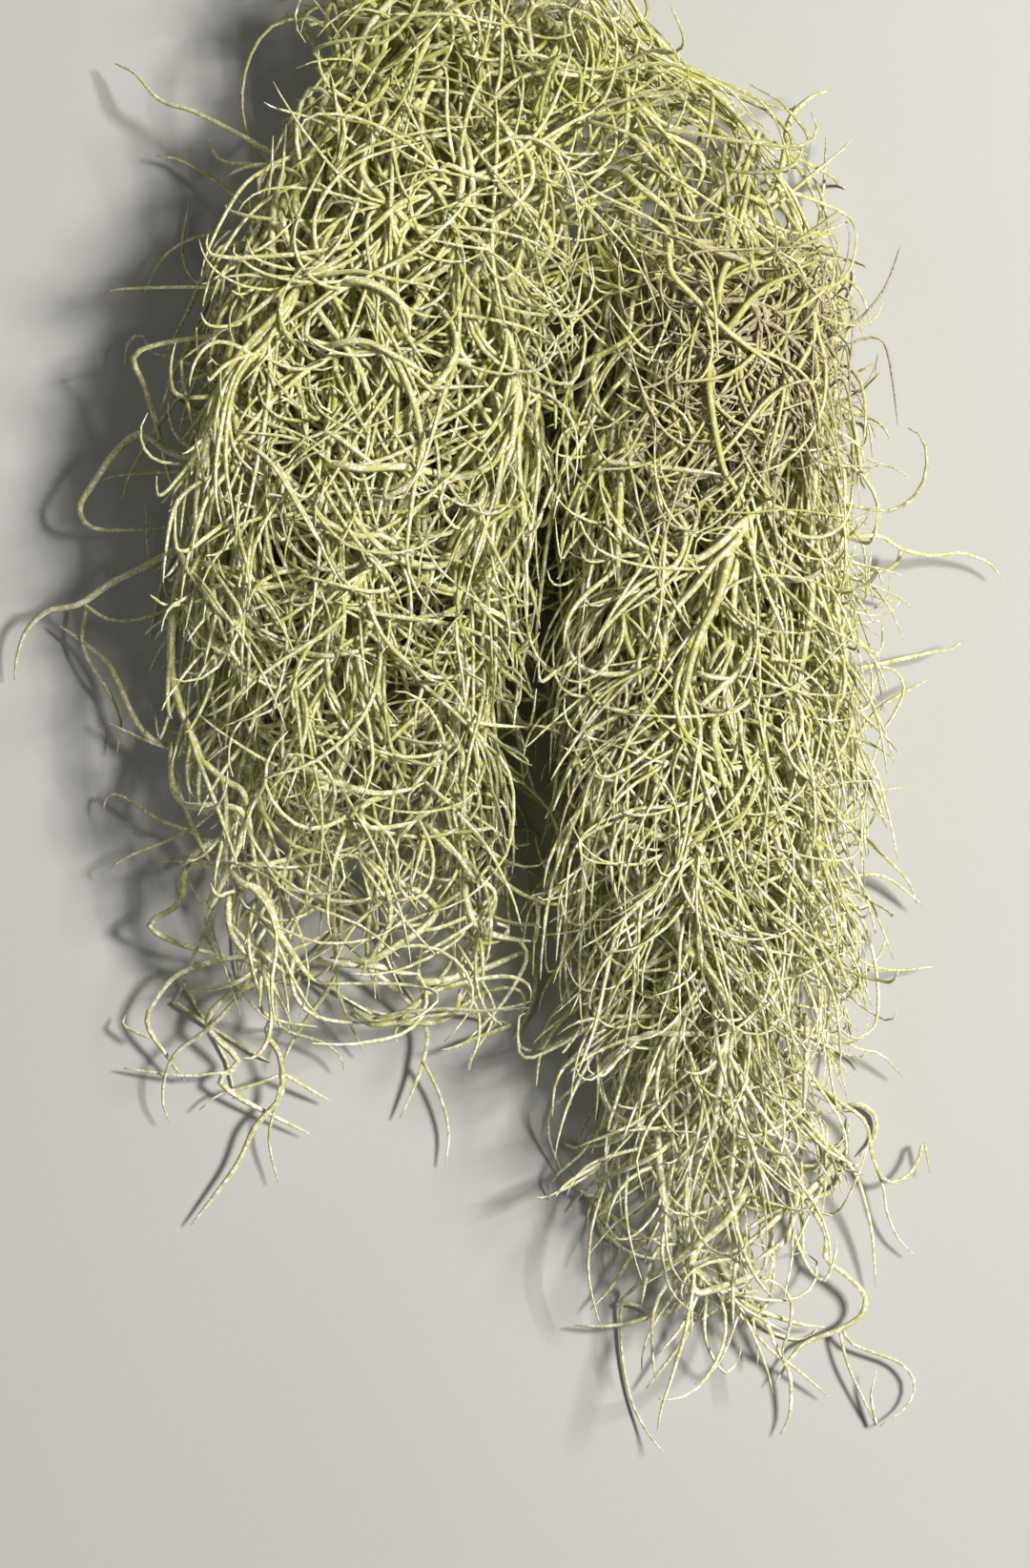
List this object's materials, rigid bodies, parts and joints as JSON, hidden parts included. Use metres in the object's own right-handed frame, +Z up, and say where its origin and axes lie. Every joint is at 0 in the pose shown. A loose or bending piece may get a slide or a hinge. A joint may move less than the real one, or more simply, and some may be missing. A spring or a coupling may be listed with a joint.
{
  "type": "spanish moss bunch",
  "caption": "Bunch of Spanish moss laid on its back: two long tangled tresses of thin curling grey-green stems, joined at the crown.",
  "frame": {"origin": "centre of the bunch's box, on the surface that it lies on", "axes": "+Y along the bunch from its hanging tips to its crown, +X to the right as seen from above, +Z up off the surface"},
  "size_m": [0.251, 0.3748, 0.0624],
  "materials": {
    "moss": "matte grey-green plant fibre with a silvery scurf",
    "dry_moss": "matte brown dry plant fibre"
  },
  "bodies": {
    "root": {"left_outer_under": "moss", "left_middle_under": "moss", "left_inner_under": "moss", "left_outer_over": "moss", "left_middle_over": "moss", "left_inner_over": "moss", "right_inner_under": "moss", "right_middle_under": "moss", "right_outer_under": "moss", "right_inner_over": "moss", "right_outer_over": "moss", "right_front": "moss", "crown_left": "moss", "crown_bridge": "moss", "dry_nest": "dry_moss"}
  },
  "joints": []
}
